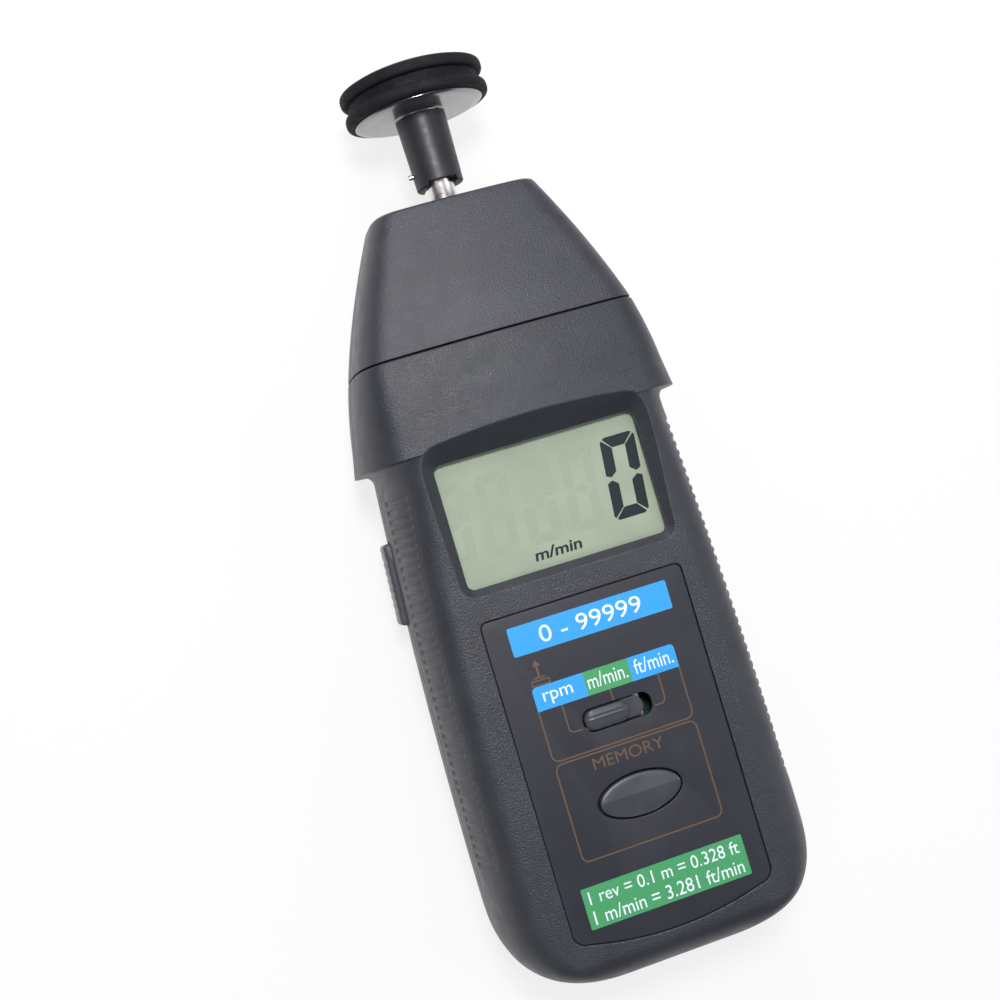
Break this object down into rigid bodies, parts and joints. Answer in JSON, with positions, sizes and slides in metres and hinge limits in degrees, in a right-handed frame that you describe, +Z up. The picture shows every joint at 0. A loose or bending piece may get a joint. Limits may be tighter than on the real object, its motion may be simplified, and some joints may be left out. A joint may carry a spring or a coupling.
{
  "type": "contact tachometer",
  "caption": "Hand-held contact tachometer with a display, a slide switch, a memory key, a side button and a rubber-tyred surface wheel on a ball-bearing spindle",
  "frame": {"origin": "On the flat back face, in the middle of the case's width and halfway from its bottom end to its nose", "axes": "+Y runs along the case and the spindle towards the surface wheel, +Z points up out of the display, +X to the right of the display"},
  "size_m": [0.0712, 0.198, 0.0395],
  "materials": {
    "case_plastic": "fine pebble grain, slate grey",
    "cap_plastic": "fine pebble grain, slate grey",
    "panel_film": "fine grain print film with coloured bars",
    "window_plastic": "clear moulded sheet",
    "key_plastic": "smooth satin, grey",
    "wheel_plastic": "turned, polished black",
    "tyre_rubber": "matt black rubber",
    "bright_steel": "turned bright steel",
    "ball_steel": "polished balls",
    "dark_steel": "blackened steel",
    "brass": "turned brass",
    "cast_alloy": "machined light alloy",
    "seal_rubber": "soft black felt and rubber",
    "board_laminate": "green laminate with tracks",
    "display_glass": "grey green display glass",
    "holder_plastic": "off-white moulding",
    "contact_rubber": "striped contact rubber",
    "black_plastic": "moulded black resin",
    "plated_can": "drawn plated sheet",
    "capacitor_sleeve": "shrunk blue sleeve",
    "plunger_plastic": "moulded red plastic",
    "cell_jacket": "plain printed jacket",
    "spring_steel": "nickel plated spring wire and sheet",
    "tab_brass": "plated contact sheet",
    "red_insulation": "soft insulation",
    "black_insulation": "soft insulation"
  },
  "bodies": {
    "case": {"head_cap": "cap_plastic", "front_case": "case_plastic", "rear_case": "case_plastic", "panel_overlay": "panel_film", "display_window": "window_plastic", "bearing_housing": "cast_alloy", "housing_screws": "bright_steel", "dust_seal": "seal_rubber", "front_bearing_outer": "bright_steel", "rear_bearing_outer": "bright_steel", "main_board": "board_laminate", "lcd_glass": "display_glass", "lcd_holder": "holder_plastic", "lcd_contact_strips": "contact_rubber", "controller_chip": "black_plastic", "timing_crystal": "plated_can", "capacitors": "capacitor_sleeve", "resistors": "black_plastic", "mode_switch_body": "plated_can", "memory_switch_body": "black_plastic", "measure_switch_body": "black_plastic", "photo_interrupter": "black_plastic", "board_screws": "bright_steel", "case_screws": "dark_steel", "cap_screws": "dark_steel", "battery_cells": "cell_jacket", "battery_springs": "spring_steel", "battery_spring_plates": "spring_steel", "battery_tabs": "tab_brass", "positive_lead": "red_insulation", "negative_lead": "black_insulation"},
    "spindle": {"spindle_shaft": "bright_steel", "encoder_disc": "dark_steel", "disc_hub": "brass", "bearing_spacer": "bright_steel", "retaining_ring": "dark_steel", "front_bearing_inner": "bright_steel", "rear_bearing_inner": "bright_steel"},
    "wheel": {"wheel_hub": "wheel_plastic", "wheel_tyre": "tyre_rubber", "hub_grip_pin": "bright_steel"},
    "front_ball_set": {"front_bearing_balls": "ball_steel", "front_bearing_cage": "brass"},
    "rear_ball_set": {"rear_bearing_balls": "ball_steel", "rear_bearing_cage": "brass"},
    "mode_slider": {"mode_knob": "key_plastic", "mode_switch_lever": "black_plastic"},
    "memory_button": {"memory_key": "key_plastic", "memory_switch_plunger": "plunger_plastic"},
    "side_button": {"measure_button": "key_plastic", "measure_switch_plunger": "plunger_plastic"},
    "cover": {"battery_cover": "case_plastic"}
  },
  "joints": [
    {"name": "spindle_spin", "type": "hinge", "parent": "case", "child": "spindle", "pos_m": [0, 0.083, 0.019], "axis": [0, 1, 0], "continuous": true},
    {"name": "wheel_pull", "type": "slide", "parent": "spindle", "child": "wheel", "axis": [0, 1, 0], "range_m": [0, 0.018]},
    {"name": "front_ball_roll", "type": "hinge", "parent": "case", "child": "front_ball_set", "pos_m": [0, 0.0776, 0.019], "axis": [0, 1, 0], "continuous": true},
    {"name": "rear_ball_roll", "type": "hinge", "parent": "case", "child": "rear_ball_set", "pos_m": [0, 0.0596, 0.019], "axis": [0, 1, 0], "continuous": true},
    {"name": "mode_slide", "type": "slide", "parent": "case", "child": "mode_slider", "axis": [1, 0, 0], "range_m": [0, 0.0046]},
    {"name": "memory_press", "type": "slide", "parent": "case", "child": "memory_button", "axis": [0, 0, -1], "range_m": [0, 0.0006], "stiffness_N_per_m": 1500},
    {"name": "measure_press", "type": "slide", "parent": "case", "child": "side_button", "axis": [1, 0, 0], "range_m": [0, 0.001], "stiffness_N_per_m": 1500},
    {"name": "cover_slide", "type": "slide", "parent": "case", "child": "cover", "axis": [0, -1, 0], "range_m": [0, 0.012]}
  ],
  "couplings": [
    {"joint": "front_ball_roll", "follows": "spindle_spin", "ratio": 0.4063},
    {"joint": "rear_ball_roll", "follows": "spindle_spin", "ratio": 0.4063}
  ]
}
